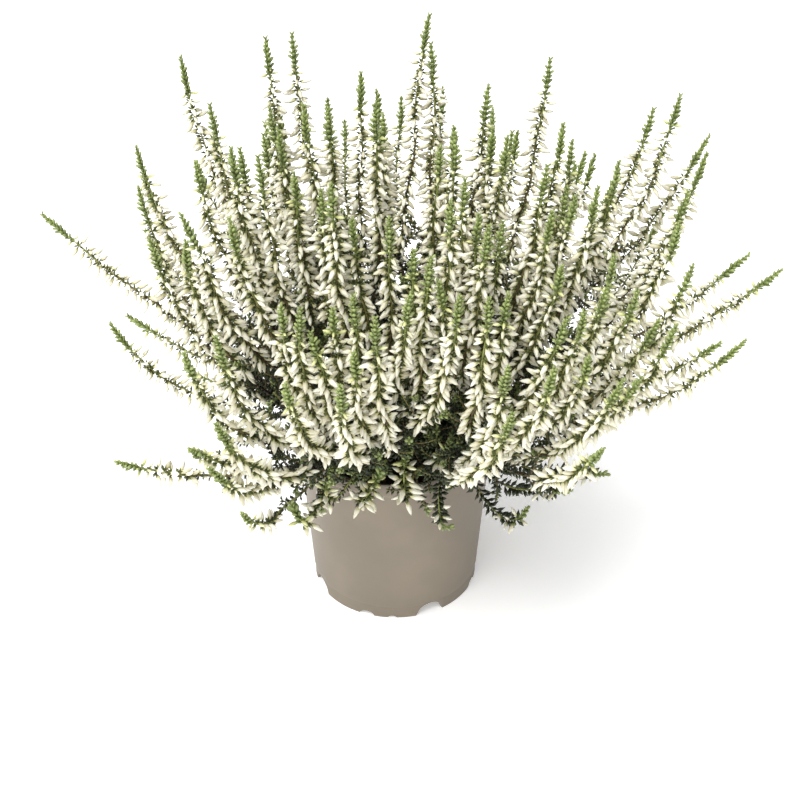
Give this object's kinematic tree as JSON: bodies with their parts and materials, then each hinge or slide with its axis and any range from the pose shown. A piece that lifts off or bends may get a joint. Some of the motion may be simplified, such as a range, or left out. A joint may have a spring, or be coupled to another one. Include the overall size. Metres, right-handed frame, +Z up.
{
  "type": "potted heather",
  "caption": "Heather in full bud: white bud spikes with green tips fan out over a taupe nursery pot.",
  "frame": {"origin": "on the pot's axis, at the surface that its feet stand on", "axes": "+Z up; -Y is the side that faces the viewer; +X is to the viewer's right, along the plant's widest spread"},
  "size_m": [0.375, 0.308, 0.3001],
  "materials": {
    "pot_plastic": "injection-moulded polypropylene, matte taupe with a very fine moulded texture",
    "potting_soil": "dark peat and bark fibre, matte and crumbly",
    "flowering_sprays": "ivory-white closed buds on thin brown stems, soft satin, with green growing tips",
    "green_leaves": "dark green packed scale leaves, matte with a slight waxy sheen"
  },
  "bodies": {
    "root": {"leafy_twig_01": "green_leaves", "leafy_twig_02": "green_leaves", "pot": "pot_plastic", "soil": "potting_soil", "spray_01": "flowering_sprays", "spray_02": "flowering_sprays", "spray_03": "flowering_sprays", "spray_04": "flowering_sprays", "spray_05": "flowering_sprays", "spray_06": "flowering_sprays", "spray_07": "flowering_sprays", "spray_08": "flowering_sprays", "spray_09": "flowering_sprays", "spray_10": "flowering_sprays", "spray_11": "flowering_sprays", "spray_12": "flowering_sprays", "spray_13": "flowering_sprays", "spray_14": "flowering_sprays", "spray_15": "flowering_sprays", "spray_16": "flowering_sprays", "spray_17": "flowering_sprays", "spray_18": "flowering_sprays", "spray_19": "flowering_sprays", "spray_20": "flowering_sprays", "spray_21": "flowering_sprays", "spray_22": "flowering_sprays", "spray_23": "flowering_sprays", "spray_24": "flowering_sprays", "spray_25": "flowering_sprays", "spray_26": "flowering_sprays", "spray_27": "flowering_sprays", "spray_28": "flowering_sprays", "spray_29": "flowering_sprays", "spray_30": "flowering_sprays", "spray_31": "flowering_sprays", "spray_32": "flowering_sprays", "spray_33": "flowering_sprays", "spray_34": "flowering_sprays", "spray_35": "flowering_sprays", "spray_36": "flowering_sprays", "spray_37": "flowering_sprays", "spray_38": "flowering_sprays", "spray_39": "flowering_sprays", "spray_40": "flowering_sprays", "spray_41": "flowering_sprays", "spray_42": "flowering_sprays", "spray_43": "flowering_sprays", "spray_44": "flowering_sprays", "spray_45": "flowering_sprays", "spray_46": "flowering_sprays", "spray_47": "flowering_sprays", "spray_48": "flowering_sprays", "spray_49": "flowering_sprays", "spray_50": "flowering_sprays", "spray_51": "flowering_sprays"}
  },
  "joints": []
}
